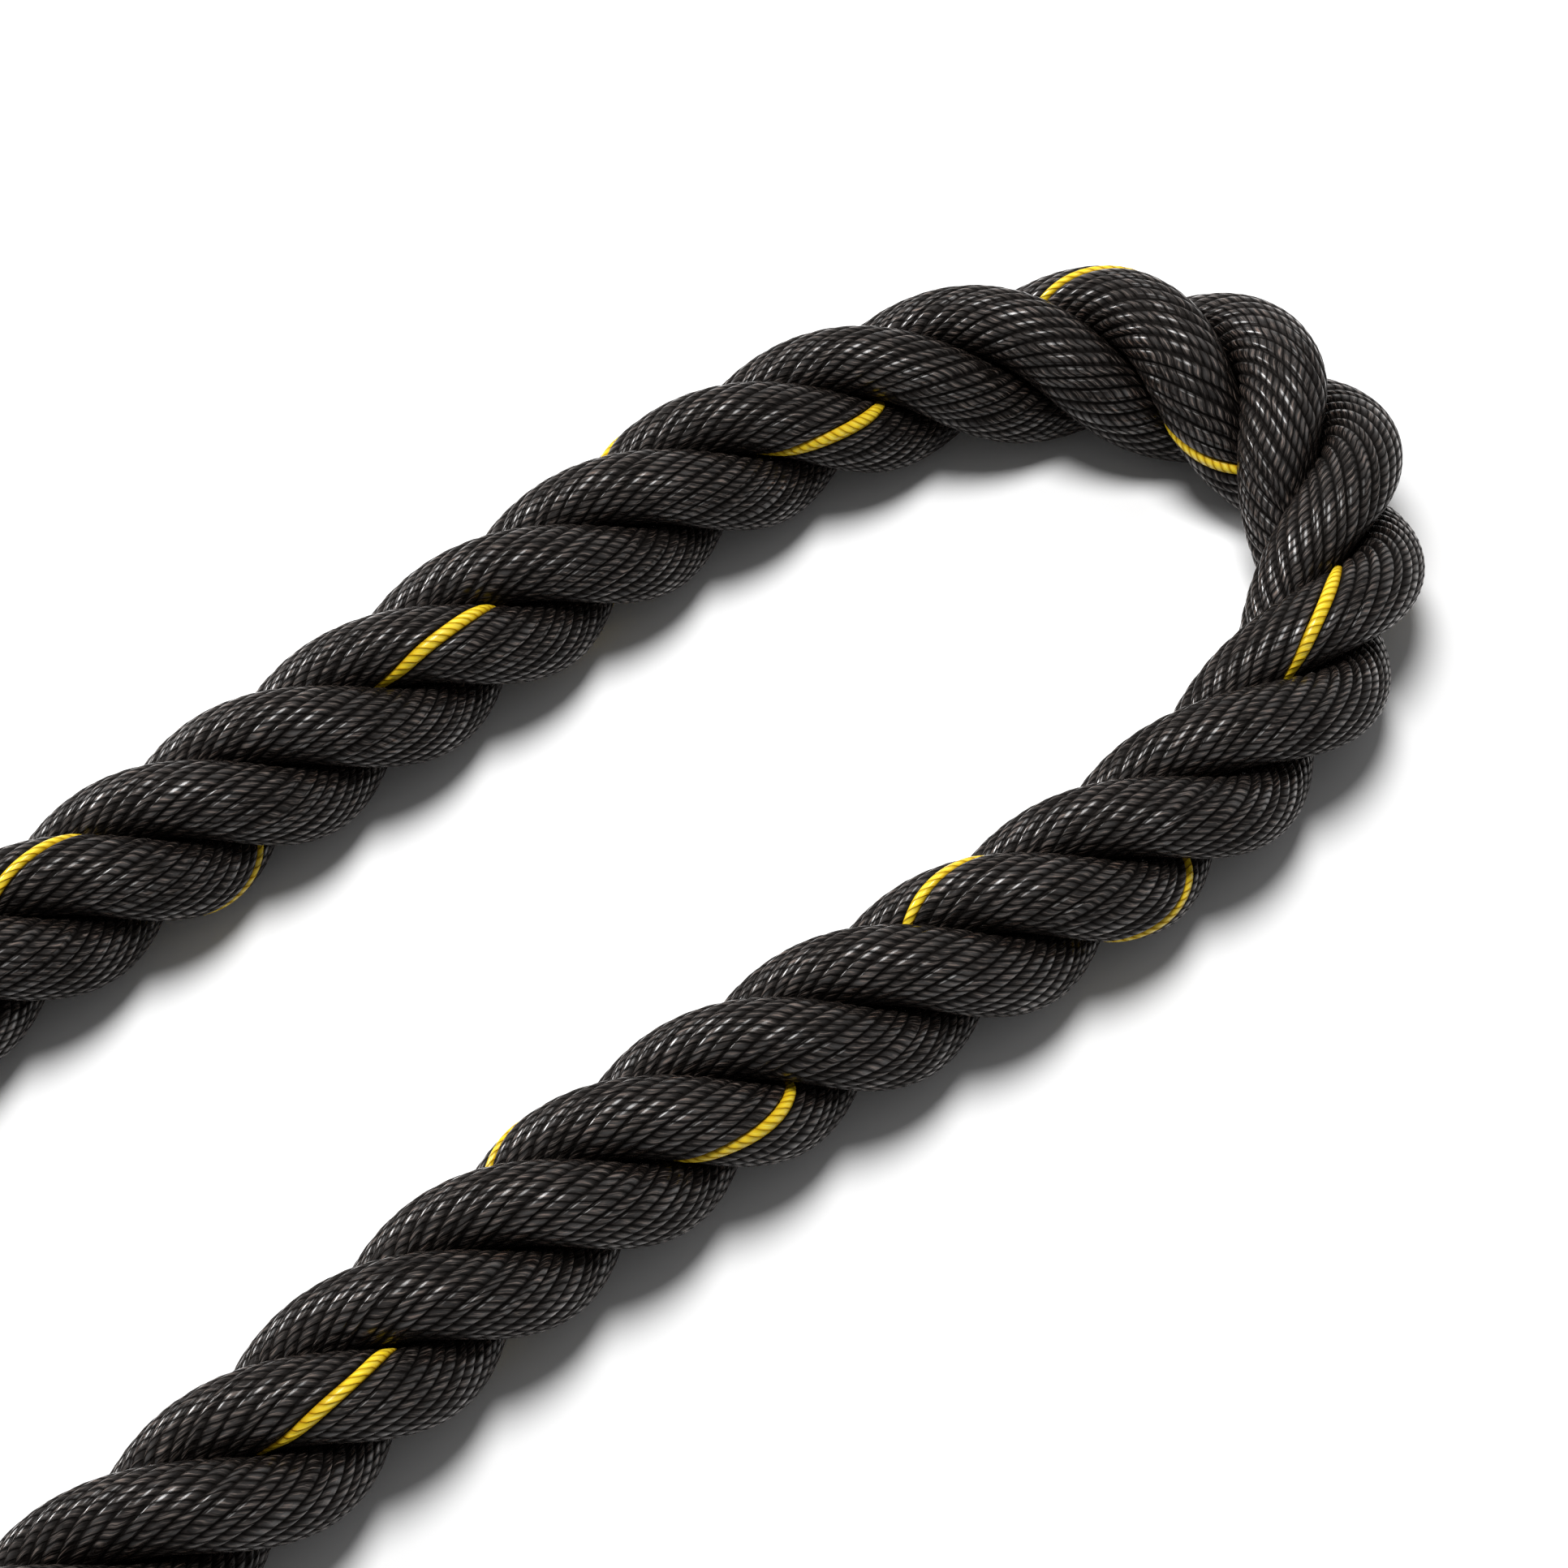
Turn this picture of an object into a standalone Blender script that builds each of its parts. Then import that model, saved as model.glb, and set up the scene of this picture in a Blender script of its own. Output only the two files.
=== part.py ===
"""Battle rope: a three-strand laid rope for training, 9 m long, doubled at its middle.

The bight lies in front with its two legs behind it, and the rest of the rope is put away as one
neat coil, both legs wound side by side. Units are metres, +Z is up, and z = 0 is the floor.
X runs along the legs, with the bight at the +X end.

The bight and its legs are three separate strands, each a tube that winds round the rope's axis.
They stand further apart and are a little thicker in the bight, where bending opens the lay. In
the coil each leg is one plain tube.
"""

import bpy
import bmesh
import numpy as np

# Driving sizes
ROPE_D = 0.038  # across the laid rope
ROPE_LENGTH = 9.0
LAY_PITCH = 0.0984  # along the rope, for one full turn of a strand
LAY_START_TURNS = 0.23  # how far the first strand has turned where the far leg leaves the coil
STRAND_COUNT = 3
STRAND_SHARE = 0.415  # a strand's diameter, of the rope's
CLEARANCE = 0.0003  # between solids that touch
LEAD = 0.045  # straight run where a leg meets the coil
OPENING = 0.0042  # how much further out the strands reach where the lay is most open
OPENING_REACH = 0.070  # how far along the rope that spreads
OPENING_PLACE = (-0.022, 0.041)  # where it is, seen from above
SWELL_SHARE = 0.22  # of the opening, taken up by the strands' own thickness

# The coil
TURN_SLACK = 0.0011  # between one turn and a sleeved turn beside it or above it
INNER_TURN_R = 0.176  # of the pair of legs, where the spiral turns back outwards
TURNS_IN = 1.4  # of the lower layer
CLIMB_TURNS = 0.5  # the stretch that rises to the upper layer
TURN_BACK_TURNS = 0.05  # how gently the spiral turns back
SETTLE_TURNS = 0.10  # the stretch in which a leg settles on its flat
FLAT_SHARE = 0.1  # of the rope's diameter, pressed flat where the coil stands on the floor

# The ends
SLEEVE_LENGTH = 0.230
SLEEVE_WALL = 0.0018
CAP_THICKNESS = 0.004
END_RUN = 0.050  # least straight run at each end of the rope
BINDING_LENGTH = 0.028
BINDING_THICKNESS = 0.0012
CUT_OVERRUN = 0.010  # of every cutter past what it cuts

# Facets
POINTS_PER_TURN = 24  # of the coil
POINTS_PER_LAY = 11  # of a strand, in one turn round the rope
COIL_FACETS = 1  # a curve's bevel_resolution
STRAND_FACETS = 2
SLEEVE_FACETS = 4
ROUTE_SAMPLES = 16  # points worked out between two of the route's own
GAP_SAMPLES = 24  # points between two of the coil's own, where its gaps are measured

# The rope's middle, seen from above, from the far leg round the bight to the near leg
ROUTE = [
    (-0.4980, 0.0225),
    (-0.4510, 0.0396),
    (-0.4182, 0.0509),
    (-0.3840, 0.0589),
    (-0.3489, 0.0635),
    (-0.3133, 0.0656),
    (-0.2783, 0.0662),
    (-0.2439, 0.0668),
    (-0.2100, 0.0680),
    (-0.1757, 0.0699),
    (-0.1403, 0.0719),
    (-0.1037, 0.0717),
    (-0.0675, 0.0662),
    (-0.0352, 0.0518),
    (-0.0121, 0.0280),
    (-0.0042, -0.0018),
    (-0.0141, -0.0315),
    (-0.0384, -0.0550),
    (-0.0713, -0.0686),
    (-0.1076, -0.0733),
    (-0.1441, -0.0722),
    (-0.1793, -0.0688),
    (-0.2134, -0.0654),
    (-0.2472, -0.0635),
    (-0.2815, -0.0636),
    (-0.3168, -0.0651),
    (-0.3525, -0.0667),
    (-0.3881, -0.0669),
    (-0.4230, -0.0644),
    (-0.4569, -0.0585),
    (-0.4960, -0.0490),
]
COIL_START_X = -0.620  # where the legs' axes meet the coil
PAIR_Y = -0.020  # of the middle between the legs, where they meet the coil

# Sizes that follow
ROPE_R = ROPE_D / 2
STRAND_D = STRAND_SHARE * ROPE_D
STRAND_R = STRAND_D / 2
STRAND_WINDING_R = ROPE_R - STRAND_R  # from the rope's axis to a strand's axis
SLEEVE_R = ROPE_R + CLEARANCE + SLEEVE_WALL
NECK_R = ROPE_R - BINDING_THICKNESS - CLEARANCE
LEG_Z = ROPE_R + CLEARANCE
COIL_Z = ROPE_R - FLAT_SHARE * ROPE_D
TURN_STEP = ROPE_R + SLEEVE_R + TURN_SLACK  # from one turn's axis to the next
PAIR_STEP = 2 * TURN_STEP  # from one turn of the pair to the next
FULL_TURN = 2 * np.pi
SIDES = {"a": 1, "b": -1}  # the far leg winds inside the near one


def clear_scene():
    for obj in list(bpy.data.objects):
        bpy.data.objects.remove(obj, do_unlink=True)


def new_collection(name):
    collection = bpy.data.collections.new(name)
    bpy.context.scene.collection.children.link(collection)
    return collection


def new_material(name, colour, roughness):
    material = bpy.data.materials.new(name)
    material.use_nodes = True
    shader = material.node_tree.nodes["Principled BSDF"]
    shader.inputs["Base Color"].default_value = (*colour, 1)
    shader.inputs["Roughness"].default_value = roughness
    shader.inputs["Metallic"].default_value = 0
    return material


# Routes


def unit(vectors):
    return vectors / np.linalg.norm(vectors, axis=-1, keepdims=True)


def lengths_along(points):
    steps = np.linalg.norm(np.diff(points, axis=0), axis=1)
    return np.concatenate([[0], np.cumsum(steps)])


def at_lengths(points, lengths):
    """The places on a dense line at these lengths along it."""
    along = lengths_along(points)
    return np.stack([np.interp(lengths, along, axis) for axis in points.T], axis=1)


def smooth_curve(points, first_direction, last_direction):
    """A dense line with even curvature through the points, with its end directions given."""
    knots = lengths_along(points)
    spans = np.diff(knots)[:, None]
    slopes = np.diff(points, axis=0) / spans
    count = len(points)
    matrix = np.eye(count)
    right = np.zeros_like(points)
    right[0] = first_direction
    right[-1] = last_direction
    for i in range(1, count - 1):
        before, after = spans[i - 1, 0], spans[i, 0]
        matrix[i, i - 1 : i + 2] = after, 2 * (before + after), before
        right[i] = 3 * (after * slopes[i - 1] + before * slopes[i])
    tangents = np.linalg.solve(matrix, right)
    t = np.linspace(0, 1, ROUTE_SAMPLES, endpoint=False)[:, None]
    line = []
    for i in range(count - 1):
        start = (1 + 2 * t) * (1 - t) ** 2 * points[i] + t * (1 - t) ** 2 * spans[i] * tangents[i]
        end = t**2 * (3 - 2 * t) * points[i + 1] + t**2 * (t - 1) * spans[i] * tangents[i + 1]
        line.append(start + end)
    return np.concatenate(line + [points[-1:]])


def ease(share):
    """From 0 to 1 with a level start and end."""
    return share**2 * (3 - 2 * share)


def coil_points(side, turns):
    """One leg's axis at these turns past the coil's start, seen as it winds in and out again."""
    back = turns - TURNS_IN
    from_middle = np.sqrt(back**2 + TURN_BACK_TURNS**2)
    radius = INNER_TURN_R + PAIR_STEP * from_middle - SIDES[side] * TURN_STEP / 2
    angle = -FULL_TURN * (turns + 1 / 4)
    climb = np.clip(back / CLIMB_TURNS + 1 / 2, 0, 1)
    settle = np.clip(turns / SETTLE_TURNS, 0, 1)
    height = COIL_Z + TURN_STEP * ease(climb) + (LEG_Z - COIL_Z) * (1 - ease(settle))
    centre_y = PAIR_Y + INNER_TURN_R + PAIR_STEP * np.hypot(TURNS_IN, TURN_BACK_TURNS)
    return np.stack(
        [COIL_START_X + radius * np.cos(angle), centre_y + radius * np.sin(angle), height], axis=1
    )


def coil_start(side):
    """The first point of a leg's turns, and the direction in which it winds on."""
    first, second = coil_points(side, np.array([0, 1 / (POINTS_PER_TURN * GAP_SAMPLES)]))
    return first, unit((second - first) * [1, 1, 0])


def opening(places):
    """How much further out the strands reach at these places."""
    away = np.linalg.norm(places[:, :2] - OPENING_PLACE, axis=1)
    return OPENING * np.exp(-((away / OPENING_REACH) ** 2))


def legs_and_bight():
    """The rope's axis from one end of the coil round the bight to the other, straight at both."""
    meets, leaves, away = {}, {}, {}
    for side in SIDES:
        start, winding = coil_start(side)
        away[side] = -winding
        meets[side] = start - winding * LEAD
        leaves[side] = meets[side] - winding * ROPE_R
    middle = [(x, y, LEG_Z) for x, y in ROUTE]
    points = np.array([leaves["a"], *middle, leaves["b"]])
    curve = smooth_curve(points, away["a"], -away["b"])
    curve[:, 2] += opening(curve)  # the wider rope lies on the same floor
    return np.concatenate([[meets["a"]], curve, [meets["b"]]])


def coiled_leg(side, length):
    """The rest of the rope on one side: a straight lead, the turns, and a straight end."""
    grid = np.arange(0, 2 * TURNS_IN + 1, 1 / POINTS_PER_TURN)
    points = coil_points(side, grid)
    wound = length - LEAD
    count = np.searchsorted(lengths_along(points), wound - END_RUN)
    turns = points[:count]
    end = turns[-1] + unit(points[count] - turns[-1]) * (wound - lengths_along(turns)[-1])
    start, winding = coil_start(side)
    return np.concatenate([[start - winding * LEAD], turns, [end]])


# Shapes


def tube_curve(name, points, radii, facets, collection):
    data = bpy.data.curves.new(name, "CURVE")
    data.dimensions = "3D"
    data.twist_mode = "Z_UP"
    data.bevel_depth = 1
    data.bevel_resolution = facets
    data.use_fill_caps = True
    spline = data.splines.new("POLY")
    spline.points.add(len(points) - 1)
    spline.use_smooth = True
    for place, point, radius in zip(spline.points, points, np.broadcast_to(radii, len(points))):
        place.co = (*point, 1)
        place.radius = radius
    curve = bpy.data.objects.new(name, data)
    collection.objects.link(curve)
    return curve


def tube_mesh(name, points, radii, facets, collection):
    """The same tube as one closed mesh, which a Boolean can take."""
    curve = tube_curve(name + "_curve", points, radii, facets, collection)
    graph = bpy.context.evaluated_depsgraph_get()
    data = bpy.data.meshes.new_from_object(curve.evaluated_get(graph))
    bpy.data.objects.remove(curve, do_unlink=True)
    shape = bmesh.new()
    shape.from_mesh(data)
    bmesh.ops.remove_doubles(shape, verts=shape.verts, dist=CLEARANCE / 10)
    bmesh.ops.recalc_face_normals(shape, faces=shape.faces)
    shape.to_mesh(data)
    shape.free()
    data.name = name
    data.shade_smooth()
    mesh = bpy.data.objects.new(name, data)
    collection.objects.link(mesh)
    return mesh


def cut(obj, cutter):
    cutter.hide_render = True
    cutter.display_type = "WIRE"
    modifier = obj.modifiers.new("cut_" + cutter.name, "BOOLEAN")
    modifier.operation = "DIFFERENCE"
    modifier.solver = "EXACT"
    modifier.object = cutter


def floor_cutter(paths, collection):
    """A slab under the floor, which cuts the coil's underside flat."""
    points = np.concatenate(paths)
    low = points.min(axis=0) - ROPE_D
    high = points.max(axis=0) + ROPE_D
    depth = ROPE_D
    bpy.ops.mesh.primitive_cube_add(size=1)
    slab = bpy.context.object
    slab.name = "floor_cutter"
    slab.scale = (high[0] - low[0], high[1] - low[1], depth)
    slab.location = ((low[0] + high[0]) / 2, (low[1] + high[1]) / 2, -depth / 2)
    for owner in list(slab.users_collection):
        owner.objects.unlink(slab)
    collection.objects.link(slab)
    return slab


# Parts


def strand_line(route, number):
    """One strand's axis, a right-hand helix that is straight at both ends, and its radii."""
    along = lengths_along(route)
    total = along[-1]
    count = round(total / LAY_PITCH * POINTS_PER_LAY)
    turning = np.linspace(STRAND_R, total - STRAND_R, count)
    lengths = np.concatenate([[CLEARANCE], turning, [total - CLEARANCE]])
    centres = at_lengths(route, lengths)
    ahead = unit(at_lengths(route, lengths + STRAND_R / 4) - at_lengths(route, lengths - STRAND_R / 4))
    across = unit(np.cross([0, 0, 1], ahead))
    up = np.cross(ahead, across)
    turned = np.clip(lengths, turning[0], turning[-1])
    angle = FULL_TURN * (LAY_START_TURNS + turned / LAY_PITCH + number / STRAND_COUNT)
    offset = across * np.cos(angle)[:, None] + up * np.sin(angle)[:, None]
    swell = SWELL_SHARE * opening(centres)
    winding = STRAND_WINDING_R + opening(centres) - swell
    return centres + winding[:, None] * offset, STRAND_R + swell


def make_strands(route, material, collection):
    for number in range(STRAND_COUNT):
        points, radii = strand_line(route, number)
        strand = tube_curve(f"strand_{number + 1}", points, radii, STRAND_FACETS, collection)
        strand.data.materials.append(material)


def make_coiled_leg(side, path, slab, material, collection):
    """The wound tube, necked where the binding holds its end."""
    neck = unit(path[-1] - path[-2])
    shoulder = path[-1] - neck * (BINDING_LENGTH + CLEARANCE)
    points = np.concatenate([path[:-1], [shoulder, shoulder + neck * CLEARANCE / 2, path[-1]]])
    radii = np.full(len(points), ROPE_R)
    radii[-2:] = NECK_R
    leg = tube_mesh(f"coil_leg_{side}", points, radii, COIL_FACETS, collection)
    cut(leg, slab)
    leg.data.materials.append(material)


def make_binding(side, path, material, collection, cutters):
    ahead = unit(path[-1] - path[-2])
    ring = [path[-1] - ahead * BINDING_LENGTH, path[-1]]
    bore = [ring[0] - ahead * CUT_OVERRUN, ring[1] + ahead * CUT_OVERRUN]
    binding = tube_mesh(f"end_binding_{side}", ring, ROPE_R, COIL_FACETS, collection)
    hole = tube_mesh(f"binding_bore_{side}", bore, NECK_R + CLEARANCE, COIL_FACETS, cutters)
    cut(binding, hole)
    binding.data.materials.append(material)


def make_sleeve(side, path, material, collection, cutters):
    """The shrunk grip sleeve: a bore that follows the rope, and a closed end."""
    along = lengths_along(path)
    total = along[-1]
    ahead = unit(path[-1] - path[-2])
    inner_end = path[-1] + ahead * CLEARANCE
    outer_end = inner_end + ahead * CAP_THICKNESS

    mouth = total - SLEEVE_LENGTH
    bend = along[np.abs(along - mouth).argmin()]
    if abs(bend - mouth) < ROPE_R / 2 + CUT_OVERRUN:
        mouth = bend - ROPE_R / 2  # so that the mouth is square and clear of a bend in the tube

    def stretch(start):
        return [at_lengths(path, np.array([start]))[0], *path[:-1][along[:-1] > start]]

    shell = tube_mesh(
        f"grip_sleeve_{side}", [*stretch(mouth), outer_end], SLEEVE_R, SLEEVE_FACETS, collection
    )
    bore = tube_mesh(
        f"sleeve_bore_{side}",
        [*stretch(mouth - CUT_OVERRUN), inner_end],
        ROPE_R + CLEARANCE,
        COIL_FACETS,
        cutters,
    )
    cut(shell, bore)
    shell.data.materials.append(material)


# Measures


def least_gap(first, second, apart=0):
    """The least gap between two tubes' sides. Along one tube, points nearer than apart are left out."""
    least = np.inf
    for i, point in enumerate(first):
        others = second[i + apart :] if apart else second
        if len(others):
            least = min(least, np.linalg.norm(others - point, axis=1).min())
    return least - ROPE_D


def report_gaps(paths):
    """Prints each leg's length and the least gaps, measured on many points of the tubes' axes."""
    dense = {}
    for side, path in paths.items():
        count = (len(path) - 1) * GAP_SAMPLES
        dense[side] = at_lengths(path, np.linspace(0, lengths_along(path)[-1], count))
    half_turn = POINTS_PER_TURN * GAP_SAMPLES // 2
    for side, line in dense.items():
        turns = (len(paths[side]) - 2) / POINTS_PER_TURN
        gap = 1000 * least_gap(line, line, half_turn)
        print(f"coil_leg_{side}: {lengths_along(line)[-1]:.3f} m in {turns:.2f} turns, gap {gap:.2f} mm")
    print(f"coil_leg_a to coil_leg_b: gap {1000 * least_gap(dense['a'], dense['b']):.2f} mm")


def centre_on_floor(parts, cutters):
    """Parents everything to an empty that puts the middle of the whole at the origin."""
    graph = bpy.context.evaluated_depsgraph_get()
    corners = []
    for obj in parts.objects:
        shape = obj.evaluated_get(graph).to_mesh()
        corners += [obj.matrix_world @ vertex.co for vertex in shape.vertices]
        obj.evaluated_get(graph).to_mesh_clear()
    corners = np.array(corners)
    middle = (corners.min(axis=0) + corners.max(axis=0)) / 2
    holder = bpy.data.objects.new("rope_holder", None)
    parts.objects.link(holder)
    for obj in [*parts.objects, *cutters.objects]:
        if obj is not holder:
            obj.parent = holder
    holder.location = (-middle[0], -middle[1], 0)
    print("the whole was moved by", holder.location[:])


def main():
    clear_scene()
    parts = new_collection("battle_rope")
    cutters = new_collection("cutters")
    yarn = new_material("black_yarn", (0.020, 0.019, 0.018), 0.55)
    binding_tape = new_material("binding_tape", (0.030, 0.030, 0.032), 0.45)
    sleeve_film = new_material("sleeve_film", (0.012, 0.012, 0.013), 0.30)

    route = legs_and_bight()
    per_side = (ROPE_LENGTH - lengths_along(route)[-1]) / 2
    paths = {side: coiled_leg(side, per_side) for side in SIDES}
    slab = floor_cutter(list(paths.values()), cutters)
    make_strands(route, yarn, parts)
    for side, path in paths.items():
        make_coiled_leg(side, path, slab, yarn, parts)
        make_binding(side, path, binding_tape, parts, cutters)
        make_sleeve(side, path, sleeve_film, parts, cutters)
    report_gaps(paths)
    centre_on_floor(parts, cutters)


main()
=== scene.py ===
import math

import bmesh
import bpy
import numpy as np
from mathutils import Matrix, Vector


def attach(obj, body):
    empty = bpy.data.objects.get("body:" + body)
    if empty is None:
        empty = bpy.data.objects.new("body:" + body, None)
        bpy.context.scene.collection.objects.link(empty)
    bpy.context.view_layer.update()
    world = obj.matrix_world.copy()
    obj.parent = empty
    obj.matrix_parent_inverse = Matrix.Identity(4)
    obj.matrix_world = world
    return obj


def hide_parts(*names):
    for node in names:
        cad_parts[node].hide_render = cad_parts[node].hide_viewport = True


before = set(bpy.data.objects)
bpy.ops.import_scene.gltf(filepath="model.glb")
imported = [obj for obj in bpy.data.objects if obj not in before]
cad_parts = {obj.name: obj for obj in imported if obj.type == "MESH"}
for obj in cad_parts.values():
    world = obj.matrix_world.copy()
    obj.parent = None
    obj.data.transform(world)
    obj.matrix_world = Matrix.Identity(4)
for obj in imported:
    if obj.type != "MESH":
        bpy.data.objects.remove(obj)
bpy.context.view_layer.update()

# Camera: the photograph's viewing angle, 50 degrees above the floor
view = {
    "eye": (-0.0756, -0.6630, 0.6813),
    "target": (0.2945, -0.2488, 0.0193),
    "lens": 90.93,
    "sensor": 36.0,
    "nearest": 0.01,
    "furthest": 50.0,
}


def makeCamera():
    data = bpy.data.cameras.new("camera")
    data.lens = view["lens"]
    data.sensor_width = view["sensor"]
    data.clip_start = view["nearest"]
    data.clip_end = view["furthest"]
    camera = bpy.data.objects.new("camera", data)
    bpy.context.scene.collection.objects.link(camera)
    eye = Vector(view["eye"])
    camera.location = eye
    camera.rotation_mode = "QUATERNION"
    camera.rotation_quaternion = (Vector(view["target"]) - eye).to_track_quat("-Z", "Y")
    bpy.context.scene.camera = camera
    print("camera placed")


# The rope, in metres. Its own layout has the bight's end near x = 0 and the legs towards -x.
# Distances in the lists run along the rope from where the far leg leaves the coil
rope = {
    "shift": (0.45758, -0.23814),  # from that layout to the row's frame
    "diameter": 0.038,
    "length": 9.0,
    "strands": 3,
    "axisHeight": 0.0193,  # of the legs and the bight
    "windingRadius": 0.0101,  # from the rope's axis to a strand's
    "lead": 0.045,  # straight run where a leg meets the coil
    "cutBack": 0.006,  # the strands lean over, so they stop this far short of the rope's ends
    "opening": 0.0034,  # how much further out the strands stand where the bend opens the lay
    "openingAt": 0.606,
    "openingReach": (0.048, 0.055),  # before that place and after it
    "detailFrom": 0.235,  # the stretch with every yarn modelled
    "detailTo": 1.085,
    "spacing": 0.001,  # of the points on the rope's axis
    "axisSoftness": 6,  # how many points on either side a running mean takes
    "laySoftness": 9,
    "routeSamples": 48,  # points worked out between two of the route's own
    # seen from above, from the far leg round the bight to the near leg
    "route": [
        (-0.4980, 0.0225), (-0.4510, 0.0396), (-0.4182, 0.0509), (-0.3840, 0.0589),
        (-0.3489, 0.0635), (-0.3133, 0.0656), (-0.2783, 0.0662), (-0.2439, 0.0668),
        (-0.2100, 0.0680), (-0.1757, 0.0699), (-0.1403, 0.0719), (-0.1037, 0.0717),
        (-0.0675, 0.0662), (-0.0352, 0.0518), (-0.0121, 0.0280), (-0.0042, -0.0018),
        (-0.0141, -0.0315), (-0.0384, -0.0550), (-0.0713, -0.0686), (-0.1076, -0.0733),
        (-0.1441, -0.0722), (-0.1793, -0.0688), (-0.2134, -0.0654), (-0.2472, -0.0635),
        (-0.2815, -0.0636), (-0.3168, -0.0651), (-0.3525, -0.0667), (-0.3881, -0.0669),
        (-0.4230, -0.0644), (-0.4569, -0.0585), (-0.4960, -0.0490),
    ],
    # distance, and how far the rope lies to the left of that route there
    "drift": [
        (0.600, 0.0), (0.625, 0.0012), (0.690, 0.0015), (0.730, 0.0), (0.955, 0.0),
        (0.985, 0.0018), (1.015, 0.0036), (1.040, 0.0050), (1.075, 0.0050), (1.150, 0.0),
    ],
    # distance, and turns of the lay there
    "lay": [
        (0.000, -2.77), (0.200, -0.66), (0.293, 0.31), (0.354, 0.98), (0.423, 1.645),
        (0.4935, 2.325), (0.562, 2.985), (0.624, 3.57), (0.686, 4.135), (0.750, 4.69),
        (0.800, 5.195), (0.850, 5.71), (0.900, 6.24), (0.950, 6.78), (1.000, 7.31),
        (1.229, 9.72),
    ],
    "pitch": 0.0984,  # of the lay in the coil
}

# The coil: both legs wound side by side, inwards on the floor and outwards again on top
coil = {
    "startX": -0.620,
    "pairY": -0.020,
    "turnStep": 0.0412,
    "innerRadius": 0.176,
    "turnsIn": 1.4,
    "turnBack": 0.05,  # how gently the spiral turns outwards
    "climb": 0.5,  # the share of a turn that rises to the upper layer
    "settle": 0.10,  # the share of a turn in which a leg comes down on its flat
    "height": 0.0191,  # of the lower layer's axis
    "rise": 0.0392,
    "cadPoints": 24,  # a turn, in the plain model, which fixes where the straight end begins
    "firstStep": 1 / 576,  # of a turn, which gives the way a leg enters
    "points": 2000,
    "endRun": 0.050,  # least straight run at the rope's end
    "sides": {"a": 1, "b": -1},  # the far leg and the near leg
}


def unit(vectors):
    return vectors / np.linalg.norm(vectors, axis=-1, keepdims=True)


def lengthsAlong(points):
    return np.concatenate([[0], np.cumsum(np.linalg.norm(np.diff(points, axis=0), axis=1))])


def between(lengths, along, points):
    # the points' places at these distances
    return np.stack([np.interp(lengths, along, axis) for axis in points.T], axis=1)


def evenSteps(start, end, step):
    return np.linspace(start, end, int((end - start) / step) + 1)


def soften(values, count):
    # a running mean, taken three times, which keeps the ends where they are
    values = np.asarray(values, float)
    kernel = np.ones(2 * count + 1) / (2 * count + 1)
    for _ in range(3):
        padded = np.concatenate([
            2 * values[:1] - values[count:0:-1], values,
            2 * values[-1:] - values[-2:-count - 2:-1],
        ])
        if values.ndim == 1:
            values = np.convolve(padded, kernel, "valid")
        else:
            values = np.stack([np.convolve(axis, kernel, "valid") for axis in padded.T], axis=1)
    return values


def smoothCurve(points, firstDirection, lastDirection):
    # a cubic spline with its end directions given
    knots = lengthsAlong(points)
    spans = np.diff(knots)[:, None]
    slopes = np.diff(points, axis=0) / spans
    count = len(points)
    matrix = np.eye(count)
    right = np.zeros_like(points)
    right[0] = firstDirection
    right[-1] = lastDirection
    for i in range(1, count - 1):
        before, after = spans[i - 1, 0], spans[i, 0]
        matrix[i, i - 1:i + 2] = after, 2 * (before + after), before
        right[i] = 3 * (after * slopes[i - 1] + before * slopes[i])
    tangents = np.linalg.solve(matrix, right)
    t = np.linspace(0, 1, rope["routeSamples"], endpoint=False)[:, None]
    line = []
    for i in range(count - 1):
        start = (1 + 2 * t) * (1 - t) ** 2 * points[i] + t * (1 - t) ** 2 * spans[i] * tangents[i]
        end = t**2 * (3 - 2 * t) * points[i + 1] + t**2 * (t - 1) * spans[i] * tangents[i + 1]
        line.append(start + end)
    return np.concatenate(line + [points[-1:]])


def ease(share):
    return share**2 * (3 - 2 * share)


def coilPoints(side, turns):
    back = turns - coil["turnsIn"]
    pairStep = 2 * coil["turnStep"]
    radius = coil["innerRadius"] + pairStep * np.sqrt(back**2 + coil["turnBack"] ** 2)
    radius = radius - coil["sides"][side] * coil["turnStep"] / 2
    angle = -2 * np.pi * (turns + 1 / 4)  # a quarter turn, so that the legs leave along +x
    climb = np.clip(back / coil["climb"] + 1 / 2, 0, 1)
    settle = np.clip(turns / coil["settle"], 0, 1)
    height = coil["height"] + coil["rise"] * ease(climb)
    height = height + (rope["axisHeight"] - coil["height"]) * (1 - ease(settle))
    outermost = pairStep * np.hypot(coil["turnsIn"], coil["turnBack"])
    centreY = coil["pairY"] + coil["innerRadius"] + outermost
    return np.stack([
        coil["startX"] + radius * np.cos(angle), centreY + radius * np.sin(angle), height
    ], axis=1)


def coilStart(side):
    first, second = coilPoints(side, np.array([0, coil["firstStep"]]))
    return first, unit((second - first) * [1, 1, 0])


def opening(distance):
    away = distance - rope["openingAt"]
    reach = np.where(away < 0, *rope["openingReach"])
    return rope["opening"] * np.exp(-((away / reach) ** 2))


def legsAndBight():
    meets, leaves, away = {}, {}, {}
    for side in coil["sides"]:
        start, winding = coilStart(side)
        away[side] = -winding
        meets[side] = start - winding * rope["lead"]
        leaves[side] = meets[side] - winding * rope["diameter"] / 2
    middle = [(x, y, rope["axisHeight"]) for x, y in rope["route"]]
    ends = np.array([leaves["a"], *middle, leaves["b"]])
    curve = smoothCurve(ends, away["a"], -away["b"])
    return np.concatenate([[meets["a"]], curve, [meets["b"]]])


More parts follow.
